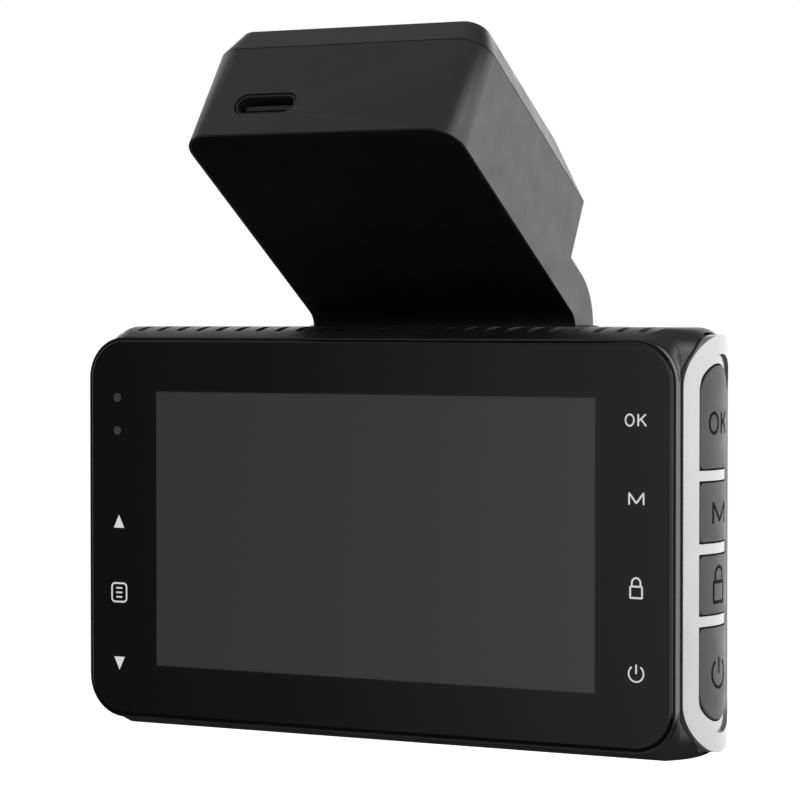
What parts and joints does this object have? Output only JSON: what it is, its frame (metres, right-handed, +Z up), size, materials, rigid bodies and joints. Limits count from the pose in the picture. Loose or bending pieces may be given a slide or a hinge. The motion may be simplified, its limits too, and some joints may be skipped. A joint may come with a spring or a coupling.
{
  "type": "dash camera",
  "caption": "Dash camera with a rear display, side keys in silver trims, and a tilting neck on a wedge mount that slides onto an adhesive windscreen plate.",
  "frame": {"origin": "centre of the adhesive pad's outer face, which sticks to the windscreen", "axes": "+X to the right of someone looking at the screen, +Y from the screen towards the lens, +Z up; the pad's face leans 34.4 degrees from level"},
  "size_m": [0.0912, 0.0504, 0.0943],
  "materials": {
    "black_case": "fine satin moulded texture",
    "black_gloss": "gloss",
    "cover_glass": "polished, printed black behind",
    "display": "dark grey panel",
    "silver_trim": "satin silver coating",
    "key_grey": "fine matte",
    "foam": "closed-cell foam tape",
    "steel": "plain",
    "dark_steel": "blackened",
    "board": "solder mask",
    "chip": "moulded",
    "ceramic": "fired ceramic",
    "lamp": "frosted",
    "silver_tray": "plain",
    "frame_metal": "stamped",
    "heat_sink": "milled",
    "sleeve": "shrink sleeve",
    "card": "matte",
    "sensor": "coated",
    "lens_black": "matte",
    "lens_glass": "coated",
    "lens_ring": "anodised look"
  },
  "bodies": {
    "windscreen_side": {"windscreen_plate": "black_case", "adhesive_pad": "foam"},
    "mount": {"mount_casing": "black_case", "mount_cover": "black_case", "mount_board": "board", "mount_board_screws": "steel", "satellite_antenna": "ceramic", "usb_socket": "steel", "usb_tongue": "chip"},
    "camera": {"hinge_pin": "steel", "hinge_washers": "steel", "main_housing": "black_case", "front_cover": "black_case", "case_screws": "dark_steel", "screen_bezel": "black_gloss", "screen_glass": "cover_glass", "status_lights": "lamp", "display_panel": "display", "backlight": "silver_tray", "inner_frame": "frame_metal", "main_board": "board", "board_screws": "steel", "processor": "chip", "memory_chips": "chip", "heat_sink": "heat_sink", "backup_capacitors": "sleeve", "speaker": "chip", "microphone": "steel", "card_socket": "steel", "sensor_board": "board", "image_sensor": "sensor", "sensor_screws": "steel", "lens_holder": "lens_black", "lens_barrel": "lens_black", "front_lens": "lens_glass", "inner_lenses": "lens_glass", "lens_ring": "lens_ring", "right_trim": "silver_trim", "left_trim": "silver_trim", "right_key_board": "board", "left_key_board": "board", "right_key_switches": "steel", "left_key_switches": "steel"},
    "ok_button": {"ok_button": "key_grey"},
    "mode_button": {"mode_button": "key_grey"},
    "lock_button": {"lock_button": "key_grey"},
    "power_button": {"power_button": "key_grey"},
    "up_button": {"up_button": "key_grey"},
    "menu_button": {"menu_button": "key_grey"},
    "down_button": {"down_button": "key_grey"},
    "memory_card": {"memory_card": "card"}
  },
  "joints": [
    {"name": "mount_slide", "type": "slide", "parent": "windscreen_side", "child": "mount", "axis": [0, -0.8251, 0.565], "range_m": [0, 0.033]},
    {"name": "camera_tilt", "type": "hinge", "parent": "mount", "child": "camera", "pos_m": [0, 0.01522, -0.0391], "axis": [1, 0, 0], "range_deg": [-12, 40]},
    {"name": "ok_press", "type": "slide", "parent": "camera", "child": "ok_button", "axis": [-1, 0, 0], "range_m": [0, 0.0004], "stiffness_N_per_m": 4000},
    {"name": "mode_press", "type": "slide", "parent": "camera", "child": "mode_button", "axis": [-1, 0, 0], "range_m": [0, 0.0004], "stiffness_N_per_m": 4000},
    {"name": "lock_press", "type": "slide", "parent": "camera", "child": "lock_button", "axis": [-1, 0, 0], "range_m": [0, 0.0004], "stiffness_N_per_m": 4000},
    {"name": "power_press", "type": "slide", "parent": "camera", "child": "power_button", "axis": [-1, 0, 0], "range_m": [0, 0.0004], "stiffness_N_per_m": 4000},
    {"name": "up_press", "type": "slide", "parent": "camera", "child": "up_button", "axis": [1, 0, 0], "range_m": [0, 0.0004], "stiffness_N_per_m": 4000},
    {"name": "menu_press", "type": "slide", "parent": "camera", "child": "menu_button", "axis": [1, 0, 0], "range_m": [0, 0.0004], "stiffness_N_per_m": 4000},
    {"name": "down_press", "type": "slide", "parent": "camera", "child": "down_button", "axis": [1, 0, 0], "range_m": [0, 0.0004], "stiffness_N_per_m": 4000},
    {"name": "card_slide", "type": "slide", "parent": "camera", "child": "memory_card", "axis": [-1, 0, 0], "range_m": [0, 0.0165]}
  ]
}
